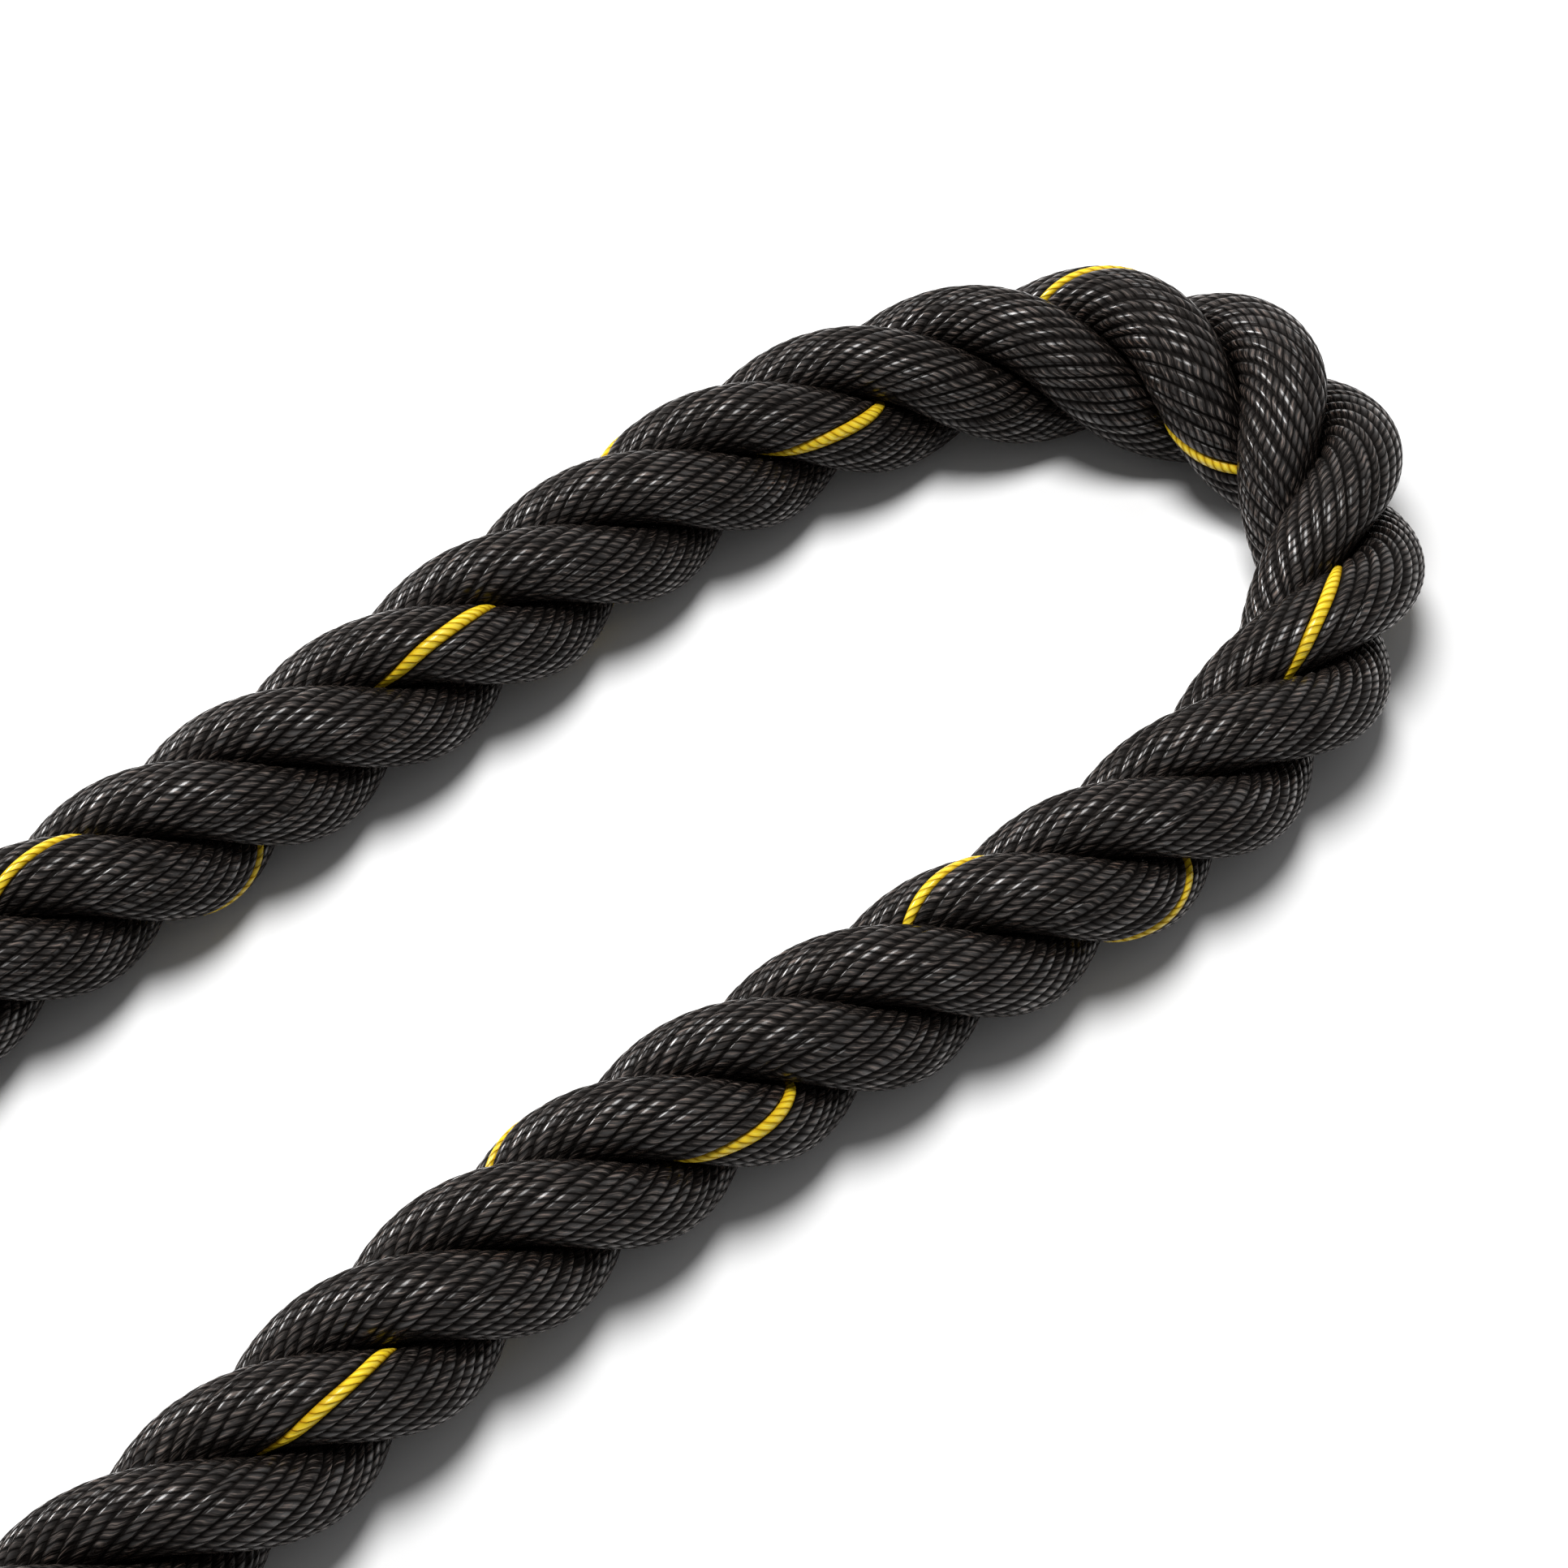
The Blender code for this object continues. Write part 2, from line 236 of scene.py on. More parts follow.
def coiledLeg(side, length):
    coarse = coilPoints(side, np.arange(0, 2 * coil["turnsIn"] + 1, 1 / coil["cadPoints"]))
    wound = length - rope["lead"]
    count = np.searchsorted(lengthsAlong(coarse), wound - coil["endRun"])
    last = (count - 1) / coil["cadPoints"]
    turns = coilPoints(side, np.linspace(0, last, coil["points"]))
    ahead = unit(coarse[count] - coarse[count - 1])
    end = turns[-1] + ahead * (wound - lengthsAlong(coarse[:count])[-1])
    start, winding = coilStart(side)
    return np.concatenate([[start - winding * rope["lead"]], turns, [end]])


def wholeRope():
    # the rope's axis from end to end, with what the lay needs at each of its points
    middle = legsAndBight()
    perSide = (rope["length"] - lengthsAlong(middle)[-1]) / 2
    legs = {side: coiledLeg(side, perSide) for side in coil["sides"]}
    line = np.concatenate([legs["a"][::-1], middle[1:-1], legs["b"]])
    total = lengthsAlong(line)[-1]
    junction = lengthsAlong(legs["a"])[-1]
    along = evenSteps(0, total, rope["spacing"])
    distance = along - junction
    axis = soften(between(along, lengthsAlong(line), line), rope["axisSoftness"])
    left = unit(np.cross([0, 0, 1], np.gradient(axis, along, axis=0)))
    drift = soften(np.interp(distance, *np.array(rope["drift"]).T), rope["laySoftness"])
    spread = opening(distance)
    axis = axis + left * drift[:, None]
    axis[:, 2] += spread  # the wider rope lies on the same floor
    ahead = unit(np.gradient(axis, along, axis=0))
    sideways = unit(np.cross([0, 0, 1], ahead))
    upwards = np.cross(ahead, sideways)
    places, turns = np.array(rope["lay"]).T
    places = np.concatenate([[places[0] - junction], places, [total - junction]])
    turns = np.concatenate([
        [turns[0] + (places[0] - places[1]) / rope["pitch"]],
        turns,
        [turns[-1] + (places[-1] - places[-2]) / rope["pitch"]],
    ])
    lay = soften(np.interp(distance, places, turns), rope["laySoftness"])
    axis = axis + [*rope["shift"], 0]
    print("rope laid out:", round(total, 3), "m, the far leg's coil", round(junction, 3), "m of it")
    return {
        "along": along, "axis": axis, "ahead": ahead, "sideways": sideways, "upwards": upwards,
        "lay": lay, "spread": spread, "junction": junction, "total": total,
    }


whole = wholeRope()


# Node trees, written as sums
class Sum:
    # a socket that can be added, multiplied and so on, in a material's tree or a shape's
    def __init__(self, tree, socket):
        self.tree = tree
        self.socket = socket

    def math(self, operation, *others):
        values = dict(enumerate((self, *others)))
        return addNode(self.tree, "ShaderNodeMath", {"operation": operation}, values)

    def __add__(self, other):
        return self.math("ADD", other)

    def __sub__(self, other):
        return self.math("SUBTRACT", other)

    def __rsub__(self, other):
        return (self * -1) + other

    def __mul__(self, other):
        return self.math("MULTIPLY", other)

    def __truediv__(self, other):
        return self.math("DIVIDE", other)

    def __pow__(self, other):
        return self.math("POWER", other)

    __radd__ = __add__
    __rmul__ = __mul__


def setInputs(tree, node, values):
    for name, value in values.items():
        socket = node.inputs[name]
        if isinstance(name, str):
            socket = next(one for one in node.inputs if one.name == name and one.enabled)
        if isinstance(value, Sum):
            tree.links.new(value.socket, socket)
        else:
            socket.default_value = value


def addNode(tree, kind, settings=None, values=None, out=0):
    # any node: its settings first, then the values or links of its sockets
    node = tree.nodes.new(kind)
    for name, setting in (settings or {}).items():
        setattr(node, name, setting)
    setInputs(tree, node, values or {})
    outputs = [one for one in node.outputs if one.enabled]
    if isinstance(out, str):
        return Sum(tree, next(one for one in outputs if one.name == out))
    return Sum(tree, outputs[out])


def newShapeTree(name, inputs):
    tree = bpy.data.node_groups.new(name, "GeometryNodeTree")
    tree.interface.new_socket(
        name="Shape", in_out="OUTPUT", socket_type="NodeSocketGeometry")
    kinds = {"Guide": "Geometry", **{label: "Float" for label in inputs}, "Material": "Material"}
    for label, kind in kinds.items():
        tree.interface.new_socket(name=label, in_out="INPUT", socket_type="NodeSocket" + kind)
    entry = tree.nodes.new("NodeGroupInput")
    given = {socket.name: Sum(tree, socket) for socket in entry.outputs if socket.name}
    return tree, given


def finishShapeTree(tree, shape, material):
    shape = addNode(tree, "GeometryNodeRealizeInstances", {}, {"Geometry": shape})
    values = {"Geometry": shape, "Material": material}
    shape = addNode(tree, "GeometryNodeSetMaterial", {}, values)
    leave = tree.nodes.new("NodeGroupOutput")
    tree.links.new(shape.socket, leave.inputs[0])


# A strand and its yarns, in metres and turns
strand = {
    "Strand Radius": 0.0089,  # to the crowns of its yarns
    "Section Width": 1.02,  # across the strand, as a share of its depth
    "Swell": 0.5,  # of the lay's opening, taken up by the strand's own thickness
    "Yarns": 15.0,
    "Yarn Depth": 0.0011,
    "Yarn Turns": 2.7345,  # back round the strand, for each turn of the lay
    "Yarn Start": 0.107,
    "Unevenness": 0.7,  # how far a yarn strays sideways, of its width
    "Wedge Gap": 0.0001,  # left between two strands that press each other
}
strandInputs = [*strand, "Columns", "Follow Yarns", "Tracer Yarn", "Tracer Radius"]
surface = {
    "roundness": 3.96,  # of a yarn's section: at 4 its sides would stand upright
    "pressing": 10,  # how sharply one strand flattens the next
    "leastReach": 0.001,  # from the rope's axis, where the gap's angle would run away
    "strayAround": 2.4,  # how fast the straying changes round a strand
    "strayAlong": 45,  # and along it, for each metre
    "merge": 0.00001,
}
tracer = {
    "radius": 0.00125,
    "yarn": 7.0,  # which of the yarns it is
    "noYarn": -5.0,  # for a strand without it
    "bed": 0.45,  # half the strip in which the strand makes way for it, in yarns
    "half": 0.47,  # half its own width, in yarns
    "proud": 0.00012,
    "columns": 12.0,
}


def sampleGuide(tree, guide, row, name, kind="FLOAT"):
    if name == "position":
        value = addNode(tree, "GeometryNodeInputPosition")
    else:
        kinds = {"data_type": kind}
        value = addNode(tree, "GeometryNodeInputNamedAttribute", kinds, {"Name": name})
    return addNode(
        tree, "GeometryNodeSampleIndex", {"data_type": kind},
        {"Geometry": guide, "Value": value, "Index": row},
    )


def guideGrid(tree, given):
    # a grid with a row for each point of the guide; its last column closes on the first
    guide = {"Geometry": given["Guide"]}
    count = addNode(tree, "GeometryNodeAttributeDomainSize", {}, guide, "Point Count")
    across = given["Columns"] + 1
    grid = addNode(
        tree, "GeometryNodeMeshGrid", {},
        {"Size X": 1.0, "Size Y": 1.0, "Vertices X": count, "Vertices Y": across},
    )
    index = addNode(tree, "GeometryNodeInputIndex")
    row = (index / across).math("FLOOR")
    column = index - row * across
    return grid, row, column


def placeOnStrand(tree, given, row, round_, height):
    # where a point of the strand lies: round_ is in turns round it, height above its crowns
    def sample(name, kind="FLOAT"):
        return sampleGuide(tree, given["Guide"], row, name, kind)

    angle = round_ * (2 * math.pi)
    slant, twist = sample("slant"), sample("twist")
    radius = given["Strand Radius"] + height + sample("spread") * given["Swell"]
    # the strand is round across its own axis, which leans over by its slant
    across = radius * given["Section Width"] * angle.math("SINE")
    out = sample("reach") + radius * angle.math("COSINE")
    beside = across * slant.math("COSINE")
    ahead = across * slant.math("SINE") * -1
    # neighbours press each other flat along the turning planes between them
    turned = beside.math("ARCTAN2", out) - twist * ahead
    gap = given["Wedge Gap"] / out.math("MAXIMUM", surface["leastReach"])
    room = math.pi / rope["strands"] - gap
    pressing = surface["pressing"]
    filled = (turned / room).math("ABSOLUTE")
    pressed = turned / ((filled ** pressing + 1) ** (1 / pressing))
    turn = pressed + twist * ahead
    distance = (out * out + beside * beside).math("SQRT")
    place = sample("position", "FLOAT_VECTOR")
    steps = {
        "outwards": distance * turn.math("COSINE"),
        "around": distance * turn.math("SINE"),
        "ahead": ahead,
    }
    for name, step in steps.items():
        place = addNode(
            tree, "ShaderNodeVectorMath", {"operation": "MULTIPLY_ADD"},
            {0: sample(name, "FLOAT_VECTOR"), 1: step, 2: place},
        )
    return place


def closeGrid(tree, given, grid, place, weave, column):
    # the weave's coordinates go to the face corners first, so that the seam can be merged
    columns = given["Columns"]
    vector, flat = {"data_type": "FLOAT_VECTOR"}, {"data_type": "FLOAT2", "domain": "CORNER"}
    grid = addNode(
        tree, "GeometryNodeStoreNamedAttribute", {**vector, "domain": "POINT"},
        {"Geometry": grid, "Name": "weave", "Value": weave},
    )
    kept = addNode(tree, "GeometryNodeInputNamedAttribute", vector, {"Name": "weave"})
    grid = addNode(
        tree, "GeometryNodeStoreNamedAttribute", flat,
        {"Geometry": grid, "Name": "UVMap", "Value": kept},
    )
    grid = addNode(tree, "GeometryNodeSetPosition", {}, {"Geometry": grid, "Position": place})
    # the first column and the last
    seam = (column - columns / 2).math("ABSOLUTE").math("GREATER_THAN", columns / 2 - 0.5)
    grid = addNode(
        tree, "GeometryNodeMergeByDistance", {},
        {"Geometry": grid, "Selection": seam, "Distance": surface["merge"]},
    )
    grid = addNode(
        tree, "GeometryNodeRemoveAttribute", {}, {"Geometry": grid, "Name": "weave"})
    return addNode(tree, "GeometryNodeSetShadeSmooth", {}, {"Geometry": grid})


def strayed(tree, given, yarn, along):
    # in turns round the strand, how far the yarn at this coordinate strays at this distance
    turn = yarn / given["Yarns"] * (2 * math.pi)
    place = addNode(tree, "ShaderNodeCombineXYZ", {}, {
        "X": turn.math("COSINE") * surface["strayAround"],
        "Y": turn.math("SINE") * surface["strayAround"],
        "Z": along * surface["strayAlong"],
    })
    stray = noise(tree, place, 1.0, 1.0)
    return (stray - 0.5) * given["Unevenness"] / given["Yarns"]


def makeStrandTree():
    tree, given = newShapeTree("lay strand", strandInputs)
    grid, row, column = guideGrid(tree, given)
    lay = sampleGuide(tree, given["Guide"], row, "lay")
    along = sampleGuide(tree, given["Guide"], row, "along")
    shift = given["Yarn Start"] - given["Yarn Turns"] * lay
    round_ = column / given["Columns"] + given["Follow Yarns"] * shift
    yarn = given["Yarns"] * (round_ - shift)
    inYarn = yarn.math("FRACT") - 0.5
    lobe = (1 - inYarn * inYarn * surface["roundness"]).math("SQRT") - 1
    bed = yarn.math("COMPARE", given["Tracer Yarn"] + 0.5, tracer["bed"])
    height = lobe * given["Yarn Depth"] - bed * given["Tracer Radius"] / 2
    stray = strayed(tree, given, yarn, along) * given["Follow Yarns"]
    place = placeOnStrand(tree, given, row, round_ + stray, height)
    weave = addNode(tree, "ShaderNodeCombineXYZ", {}, {"X": along, "Y": yarn})
    shape = closeGrid(tree, given, grid, place, weave, column)
    finishShapeTree(tree, shape, given["Material"])
    return tree


def makeTracerTree():
    # one yarn of a strand as a closed round thread
    tree, given = newShapeTree("lay tracer yarn", strandInputs)
    grid, row, column = guideGrid(tree, given)
    lay = sampleGuide(tree, given["Guide"], row, "lay")
    along = sampleGuide(tree, given["Guide"], row, "along")
    angle = column / given["Columns"] * (2 * math.pi)
    yarn = given["Tracer Yarn"] + 0.5 + angle.math("SINE") * tracer["half"]
    round_ = yarn / given["Yarns"] + given["Yarn Start"] - given["Yarn Turns"] * lay
    round_ = round_ + strayed(tree, given, yarn, along)
    height = given["Tracer Radius"] * (angle.math("COSINE") - 1) + tracer["proud"]
    place = placeOnStrand(tree, given, row, round_, height)
    weave = addNode(tree, "ShaderNodeCombineXYZ", {}, {"X": along, "Y": yarn})
    shape = closeGrid(tree, given, grid, place, weave, column)
    finishShapeTree(tree, shape, given["Material"])
    return tree


def strandFrames(number):
    # this strand's own line, and where it is and how it leans at each point of the rope's axis
    along, axis = whole["along"], whole["axis"]
    turn = 2 * np.pi * (whole["lay"] + number / rope["strands"])
    cosine, sine = np.cos(turn)[:, None], np.sin(turn)[:, None]
    outwards = whole["sideways"] * cosine + whole["upwards"] * sine
    around = whole["upwards"] * cosine - whole["sideways"] * sine
    reach = rope["windingRadius"] + (1 - strand["Swell"]) * whole["spread"]
    line = axis + reach[:, None] * outwards
    moves = np.gradient(line, along, axis=0)
    forward = np.sum(moves * whole["ahead"], axis=1)
    return line, {
        "position": axis, "outwards": outwards, "around": around, "ahead": whole["ahead"],
        "slant": np.arctan2(np.sum(moves * around, axis=1), forward),
        "twist": np.gradient(turn, along) / forward,
        "reach": reach, "lay": whole["lay"], "spread": whole["spread"], "along": along,
    }


def makeGuide(name, frames, lengths):
    # a row of bare points on the rope's axis, which carry what the trees need
    data = bpy.data.meshes.new(name)
    data.vertices.add(len(lengths))
    for label, values in frames.items():
        if values.ndim == 1:
            there = np.interp(lengths, frames["along"], values).astype(np.float32)
            data.attributes.new(label, "FLOAT", "POINT").data.foreach_set("value", there)
            continue
        there = between(lengths, frames["along"], values)
        if label == "position":
            data.vertices.foreach_set("co", there.astype(np.float32).ravel())
        else:
            flat = unit(there).astype(np.float32).ravel()
            data.attributes.new(label, "FLOAT_VECTOR", "POINT").data.foreach_set("vector", flat)
    guide = bpy.data.objects.new(name, data)
    bpy.context.scene.collection.objects.link(guide)
    return guide


def growShape(name, tree, frames, lengths, values):
    # runs a tree on a guide and keeps the result as a plain mesh
    guide = makeGuide(name + "_guide", frames, lengths)
    modifier = guide.modifiers.new("grow", "NODES")
    modifier.node_group = tree
    for item in tree.interface.items_tree:
        if item.in_out == "INPUT" and item.name in values:
            modifier[item.identifier] = values[item.name]
    graph = bpy.context.evaluated_depsgraph_get()
    data = bpy.data.meshes.new_from_object(guide.evaluated_get(graph))
    bpy.data.objects.remove(guide, do_unlink=True)
    data.name = name
    data.materials.clear()
    data.materials.append(values["Material"])
    piece = bpy.data.objects.new(name, data)
    bpy.context.scene.collection.objects.link(piece)
    print(name, len(data.polygons), "faces")
    return piece


# Materials
def newMaterial(name):
    material = bpy.data.materials.new(name)
    material.use_nodes = True
    tree = material.node_tree
    return material, tree, tree.nodes["Principled BSDF"]


def mixColour(tree, factor, first, second):
    first, second = (one if isinstance(one, Sum) else (*one, 1) for one in (first, second))
    values = {"Factor": factor, "A": first, "B": second}
    return addNode(tree, "ShaderNodeMix", {"data_type": "RGBA"}, values)


def noise(tree, vector, scale, detail):
    values = {"Vector": vector, "Scale": scale, "Detail": detail}
    return addNode(tree, "ShaderNodeTexNoise", {}, values, "Fac")


def bumped(tree, millimetres):
    values = {"Height": millimetres, "Distance": 0.001, "Strength": 1.0}
    return addNode(tree, "ShaderNodeBump", {}, values)


# Each yarn is twisted from plies, whose crowns catch the light; some crowns also get a painted
# highlight in their colour
plies = {
    "length": 0.0013,  # along the rope, from one ply's crown to the next
    "slant": 2.8,  # plies crossed from one side of a yarn to the other
    "roundness": 3.9,
    "depth": 0.32,  # in millimetres, as the next two
    "lobeDepth": 1.1,  # of the yarns, where the mesh has none
    "streakDepth": 0.10,
    "edge": 0.3,  # a ply's depth at its yarn's side, of that on the crown
    "strengthDepth": 0.8,  # how much deeper the strongest plies are
    "leastDepth": 0.6,
    "startSpread": (12.9898, 43.7),  # these two give each yarn a start of its own
    "pieceSteps": (7.3, 3.1),  # between one ply's streaks and the next's, and between yarns'
    "streakSpan": (5, 1.5),  # streaks across a ply and across a yarn
    "strengthSpan": (160, 5.7),  # changes for each metre, and from yarn to yarn
    "crownPower": 1.3,
    "paintedGlint": (0.50, 0.78),  # streaks between these get the painted highlight on their crowns
    "rough": 0.60,
    "crownSmoother": 0.25,
    "streakRougher": 0.10,
    "gloss": 4.2,
}
blackYarn = {
    # painted shade: the darker colour put in the grooves between yarns and plies
    "paintedGrooveShade": (0.0012, 0.0010, 0.0009),
    "face": (0.0034, 0.0027, 0.0024),
    # painted highlight: the pale colour put on glinting ply crowns
    "paintedGlint": (0.265, 0.228, 0.207),
    "tint": (1.0, 0.88, 0.82),
}
yellowYarn = {
    # painted shade: the darker colour put in the grooves between yarns and plies
    "paintedGrooveShade": (0.42, 0.17, 0.002),
    "face": (0.96, 0.72, 0.022),
    # painted highlight: the pale colour put on glinting ply crowns
    "paintedGlint": (1.0, 0.93, 0.24),
    "tint": (1.0, 0.97, 0.85),
}


def makeYarnMaterial(name, finish, withLobes=False):
    # twisted yarns: the surface carries the distance along the rope and the yarn's own number
    material, tree, shader = newMaterial(name)
    uv = addNode(tree, "ShaderNodeUVMap", {"uv_map": "UVMap"})
    along, yarn = (addNode(tree, "ShaderNodeSeparateXYZ", {}, {0: uv}, axis) for axis in (0, 1))
    inYarn = yarn.math("FRACT") - 0.5
    number = yarn.math("FLOOR")
    lobe = (1 - inYarn * inYarn * surface["roundness"]).math("SQRT")
    wave, spread = plies["startSpread"]
    own = (number * wave).math("SINE") * spread
    phase = along / plies["length"] - inYarn * plies["slant"] + own
    inPly = phase.math("FRACT") - 0.5
    ply = (1 - inPly * inPly * plies["roundness"]).math("SQRT")

    perPly, perYarn = plies["pieceSteps"]
    acrossPly, acrossYarn = plies["streakSpan"]
    streaks = noise(tree, addNode(tree, "ShaderNodeCombineXYZ", {}, {
        "X": inPly * acrossPly, "Y": inYarn * acrossYarn,
        "Z": phase.math("FLOOR") * perPly + number * perYarn,
    }), 1.0, 2.0)
    perMetre, ownStrength = plies["strengthSpan"]
    strength = noise(tree, addNode(tree, "ShaderNodeCombineXYZ", {}, {
        "X": along * perMetre, "Y": number * ownStrength, "Z": 0.0,
    }), 1.0, 1.0)

    height = ply * plies["depth"] * (lobe * (1 - plies["edge"]) + plies["edge"])
    height = height * (strength * plies["strengthDepth"] + plies["leastDepth"])
    height = height + streaks * plies["streakDepth"]
    if withLobes:
        height = height + lobe * plies["lobeDepth"]
    crown = (ply * lobe) ** plies["crownPower"]
    # painted highlight: where a ply's streaks fall in this range, its crown turns pale in place of
    # a glint
    least, most = plies["paintedGlint"]
    limits = {"Value": streaks, "From Min": least, "From Max": most}
    glintMask = addNode(tree, "ShaderNodeMapRange", {}, limits)
    # painted shade: away from the crowns, towards the grooves between yarns and plies, the colour
    # darkens
    colour = mixColour(tree, crown, finish["paintedGrooveShade"], finish["face"])
    rough = plies["rough"] - crown * plies["crownSmoother"] + streaks * plies["streakRougher"]
    setInputs(tree, shader, {
        "Normal": bumped(tree, height),
        "Base Color": mixColour(tree, glintMask * crown**3, colour, finish["paintedGlint"]),
        "Roughness": rough,
        "Specular IOR Level": 0.06, "Specular Tint": (*finish["tint"], 1),
        "Coat Weight": crown * crown * crown * strength * strength * plies["gloss"],
        "Coat IOR": 1.45, "Coat Roughness": 0.19, "Coat Tint": (*finish["tint"], 1),
    })
    return material


rubber = {
    "fine": 900.0,  # grains for each metre
    "broad": 45.0,
    "fineDepth": 0.06,  # in millimetres
    "broadDepth": 0.25,
    "dark": (0.009, 0.009, 0.010),
    "pale": (0.019, 0.019, 0.020),
    "rough": 0.24,
    "fineRougher": 0.15,
    "broadRougher": 0.12,
}


def makeSleeveMaterial():
    material, tree, shader = newMaterial("shrunk_sleeve")
    place = addNode(tree, "ShaderNodeTexCoord", {}, {}, "Object")
    fine = noise(tree, place, rubber["fine"], 3.0)
    broad = noise(tree, place, rubber["broad"], 3.0)
    rough = fine * rubber["fineRougher"] + broad * rubber["broadRougher"] + rubber["rough"]
    setInputs(tree, shader, {
        "Normal": bumped(tree, fine * rubber["fineDepth"] + broad * rubber["broadDepth"]),
        "Base Color": mixColour(tree, broad, rubber["dark"], rubber["pale"]),
        "Roughness": rough,
        "Specular IOR Level": 0.25,
    })
    return material


tape = {
    "threads": 900.0,
    "depth": 0.08,  # in millimetres
    "dark": (0.018, 0.018, 0.019),
    "pale": (0.034, 0.034, 0.036),
    "rough": 0.55,
}


def makeTapeMaterial():
    material, tree, shader = newMaterial("cloth_tape")
    place = addNode(tree, "ShaderNodeTexCoord", {}, {}, "Object")
    values = {"Vector": place, "Scale": tape["threads"], "Distortion": 1.0}
    threads = addNode(tree, "ShaderNodeTexWave", {"bands_direction": "DIAGONAL"}, values, "Fac")
    setInputs(tree, shader, {
        "Normal": bumped(tree, threads * tape["depth"]),
        "Base Color": mixColour(tree, threads, tape["dark"], tape["pale"]),
        "Roughness": tape["rough"],
    })
    return material


# Grip sleeves: a shrunk tube over each end, through which the lay still shows
sleeve = {
    "length": 0.230,
    "wall": 0.0018,
    "mouthWall": 0.35,  # of the wall, at the mouth
    "mouthTaper": 12,  # how fast the wall gets thick, for the whole length
    "lip": 0.010,  # how far in the inside of the mouth goes
    "sink": 0.0004,  # of that inside into the rope
    "laySwell": 0.0004,
    "fadeFrom": 0.9,  # of the length, from which the lay stops showing
    "cap": 0.004,
    "capRings": 6,
    "dish": [(0.0145, 0.0001), (0.0135, 0.0006), (0.008, 0.0008)],  # radius and depth
    "rows": 140,
    "columns": 72,
}


def makeSleeve(side, material):
    total = whole["total"]
    mouth = sleeve["length"] if side == "a" else total - sleeve["length"]
    end = 0.0 if side == "a" else total
    lengths = np.linspace(mouth, end, sleeve["rows"])
    labels = ("axis", "sideways", "upwards")
    axis, sideways, upwards = (between(lengths, whole["along"], whole[one]) for one in labels)
    sideways, upwards = unit(sideways), unit(upwards)
    turn = 2 * np.pi * np.interp(lengths, whole["along"], whole["lay"])
    angles = np.linspace(0, 2 * np.pi, sleeve["columns"], endpoint=False)
    cosines, sines = np.cos(angles)[:, None], np.sin(angles)[:, None]

    def ring(row, centre, reach):
        return centre + reach * (cosines * sideways[row] + sines * upwards[row])

    share = np.linspace(0, 1, sleeve["rows"])
    wall = np.clip(sleeve["mouthWall"] + share * sleeve["mouthTaper"], 0, 1)
    radius = rope["diameter"] / 2 + sleeve["wall"] * wall
    fade = 1 - np.clip((share - sleeve["fadeFrom"]) / (1 - sleeve["fadeFrom"]), 0, 1)
    inside = rope["diameter"] / 2 - sleeve["sink"]
    inward = unit(axis[1] - axis[0])
    outward = unit(axis[-1] - axis[-2])
    # the inside of the mouth first, then the outside, the cap's rounded edge and its dish
    rows = [ring(0, axis[0] + inward * sleeve["lip"], inside), ring(0, axis[0], inside)]
    for i in range(sleeve["rows"]):
        swell = sleeve["laySwell"] * fade[i] * np.cos(rope["strands"] * (angles - turn[i]))
        rows.append(ring(i, axis[i], (radius[i] + swell)[:, None]))
    for k in range(1, sleeve["capRings"] + 1):
        bend = np.pi / 2 * k / sleeve["capRings"]
        centre = axis[-1] + outward * sleeve["cap"] * np.sin(bend)
        rows.append(ring(-1, centre, radius[-1] - sleeve["cap"] * (1 - np.cos(bend))))
    for reach, depth in sleeve["dish"]:
        rows.append(ring(-1, axis[-1] + outward * (sleeve["cap"] - depth), reach))
    middle = axis[-1] + outward * (sleeve["cap"] - sleeve["dish"][-1][1])
    vertices = np.concatenate([*rows, [middle]])

    count = sleeve["columns"]
    faces = []
    for i in range(len(rows) - 1):
        for j in range(count):
            k = (j + 1) % count
            faces.append((i * count + j, i * count + k, (i + 1) * count + k, (i + 1) * count + j))
    last = (len(rows) - 1) * count
    faces += [(last + j, last + (j + 1) % count, len(rows) * count) for j in range(count)]
    data = bpy.data.meshes.new("grip_" + side)
    data.from_pydata(vertices.tolist(), [], faces)
    data.shade_smooth()
    piece = bpy.data.objects.new("grip_" + side, data)
    bpy.context.scene.collection.objects.link(piece)
    faceOut(data)
    data.materials.append(material)
    print(piece.name, len(data.polygons), "faces")
    return piece


def faceOut(data):
    shape = bmesh.new()
    shape.from_mesh(data)
    bmesh.ops.recalc_face_normals(shape, faces=shape.faces)
    shape.to_mesh(data)
    shape.free()


# Floor and light
studio = {
    "sky": 0.17,
    "floorReach": 6,
    "floorGrey": 0.5,  # what the rope gets back from the white floor
    "target": (0.28, -0.25, 0.0),
    # power, size, distance, elevation and azimuth, seen from above, from +x
    "lamps": {
        "key": (21.5, 0.70, 1.5, 84.0, 93.0),
        "rim": (22.0, 0.50, 1.8, 29.0, 110.0),
    },
}


def whiteForCamera(tree, other):
    # white where it is seen, mirrored or seen through; a grey for the light it gives
    path = tree.nodes.new("ShaderNodeLightPath")
    camera = Sum(tree, path.outputs["Is Camera Ray"])
    glossy = Sum(tree, path.outputs["Is Glossy Ray"])
    through = Sum(tree, path.outputs["Is Transmission Ray"])
    direct = camera.math("MAXIMUM", glossy).math("MAXIMUM", through)
    return mixColour(tree, direct, (other, other, other), (1.0, 1.0, 1.0))


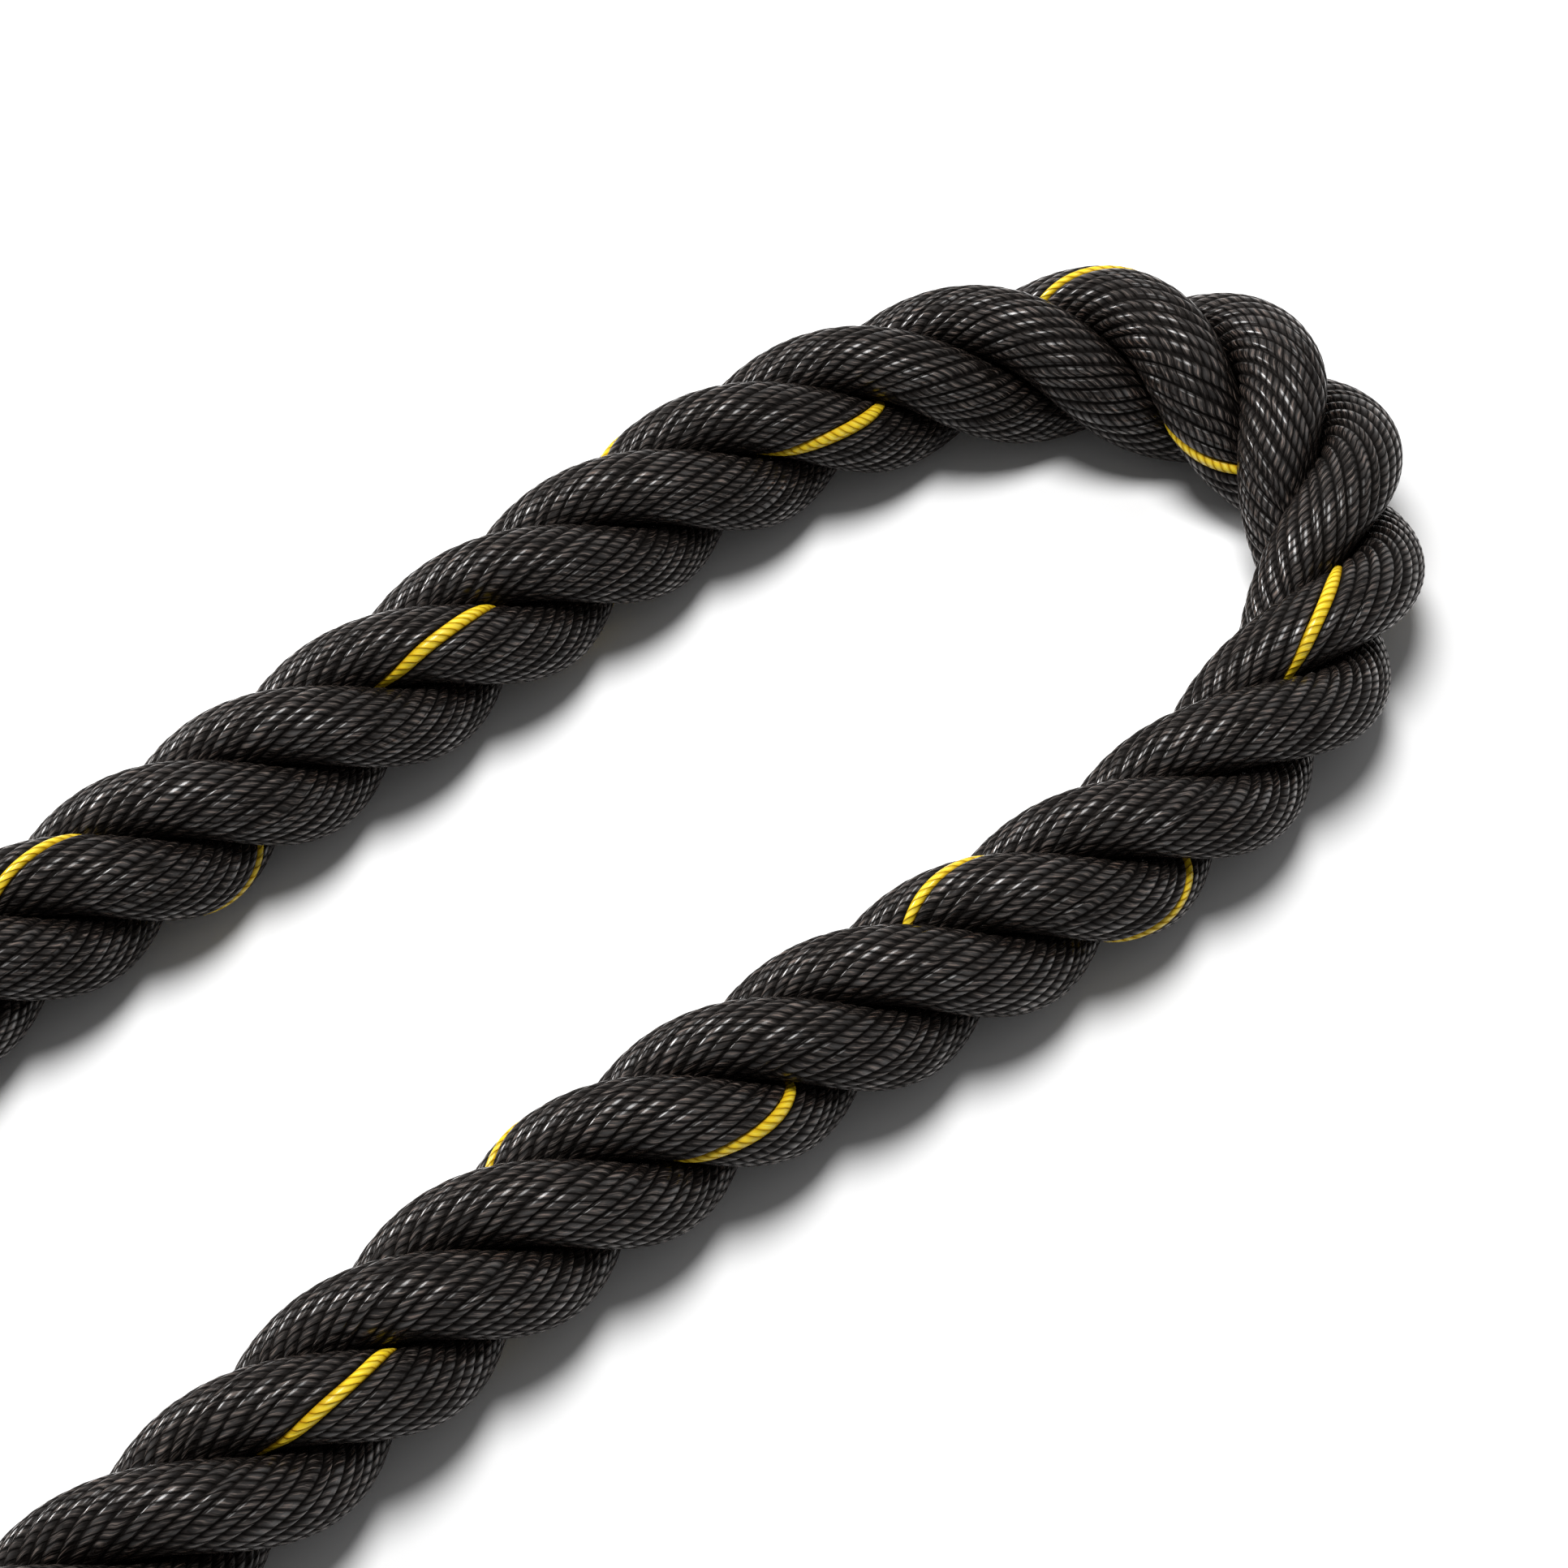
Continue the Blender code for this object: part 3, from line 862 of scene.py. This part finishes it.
def makeStudio():
    scene = bpy.context.scene
    scene.view_settings.view_transform = "Standard"
    world = bpy.data.worlds.new("studio")
    scene.world = world
    world.use_nodes = True
    tree = world.node_tree
    setInputs(tree, tree.nodes["Background"], {"Color": whiteForCamera(tree, studio["sky"])})

    reach = studio["floorReach"]
    corners = [(-reach, -reach, 0), (reach, -reach, 0), (reach, reach, 0), (-reach, reach, 0)]
    floor = bpy.data.meshes.new("floor")
    floor.from_pydata(corners, [], [(0, 1, 2, 3)])
    ground = bpy.data.objects.new("floor", floor)
    scene.collection.objects.link(ground)
    material, tree, shader = newMaterial("pale_floor")
    setInputs(tree, shader, {
        "Base Color": whiteForCamera(tree, studio["floorGrey"]),
        "Roughness": 1.0, "Specular IOR Level": 0.0,
    })
    floor.materials.append(material)

    target = Vector(studio["target"])
    for name, (power, size, distance, elevation, azimuth) in studio["lamps"].items():
        level, way = math.radians(elevation), math.radians(azimuth)
        flat = math.cos(level)
        towards = Vector((math.cos(way) * flat, math.sin(way) * flat, math.sin(level)))
        data = bpy.data.lights.new(name, "AREA")
        data.shape = "DISK"
        data.size = size
        data.energy = power
        lamp = bpy.data.objects.new(name, data)
        scene.collection.objects.link(lamp)
        lamp.location = target + towards * distance
        lamp.rotation_mode = "QUATERNION"
        lamp.rotation_quaternion = (-towards).to_track_quat("-Z", "Y")
    print("studio lit by", len(studio["lamps"]), "lamps")


makeCamera()
strandTree = makeStrandTree()
tracerTree = makeTracerTree()
yarnDetailed = makeYarnMaterial("black_yarn", blackYarn)
yarnBumped = makeYarnMaterial("black_yarn_coil", blackYarn, True)
yellow = makeYarnMaterial("yellow_yarn", yellowYarn)
sleeveFinish = makeSleeveMaterial()
tapeFinish = makeTapeMaterial()

# The rope in three runs: the middle one has every yarn modelled, and bump does in the others.
# bed is the yarn that the first strand makes way for
total = whole["total"]
detailFrom, detailTo = (whole["junction"] + rope[one] for one in ("detailFrom", "detailTo"))
detailed = {
    "step": 0.00125, "threadStep": 0.00125, "columns": 120.0, "followYarns": 1.0,
    "bed": tracer["yarn"], "material": yarnDetailed, "lay": "loose",
}
plain = {
    "step": 0.0025, "threadStep": 0.002, "columns": 36.0, "followYarns": 0.0,
    "bed": tracer["noYarn"], "material": yarnBumped, "lay": "coiled",
}
runs = {
    "bight": {**detailed, "from": detailFrom, "to": detailTo},
    "coil_a": {**plain, "from": rope["cutBack"], "to": detailFrom},
    "coil_b": {**plain, "from": detailTo, "to": total - rope["cutBack"]},
}
cord = {
    "diameter": 0.0175,
    "pathStep": 0.005,
}


def makeStrand(label, run, number):
    line, frames = strandFrames(number)
    values = {
        **strand,
        "Columns": run["columns"],
        "Follow Yarns": run["followYarns"],
        "Tracer Yarn": tracer["noYarn"] if number else run["bed"],
        "Tracer Radius": tracer["radius"],
        "Material": run["material"],
    }
    name = f"{label}_strand_{number + 1}"
    lengths = evenSteps(run["from"], run["to"], run["step"])
    piece = growShape(name, strandTree, frames, lengths, values)
    coarse = evenSteps(run["from"], run["to"], cord["pathStep"])
    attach(piece, "root")
    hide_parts(f"strand_{number + 1}" if label == "bight" else label.replace("_", "_leg_"))
    if number == 0:
        makeThread(label, run, frames, values)


def makeThread(label, run, frames, values):
    own = {"Columns": tracer["columns"], "Tracer Yarn": tracer["yarn"], "Material": yellow}
    lengths = evenSteps(run["from"], run["to"], run["threadStep"])
    thread = growShape(f"{label}_tracer_yarn", tracerTree, frames, lengths, {**values, **own})
    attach(thread, "root")


for label, run in runs.items():
    for number in range(rope["strands"]):
        makeStrand(label, run, number)

for side in coil["sides"]:
    grip = makeSleeve(side, sleeveFinish)
    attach(grip, "root")
    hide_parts("grip_sleeve_" + side)
    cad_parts["end_binding_" + side].material_slots[0].material = tapeFinish
makeStudio()
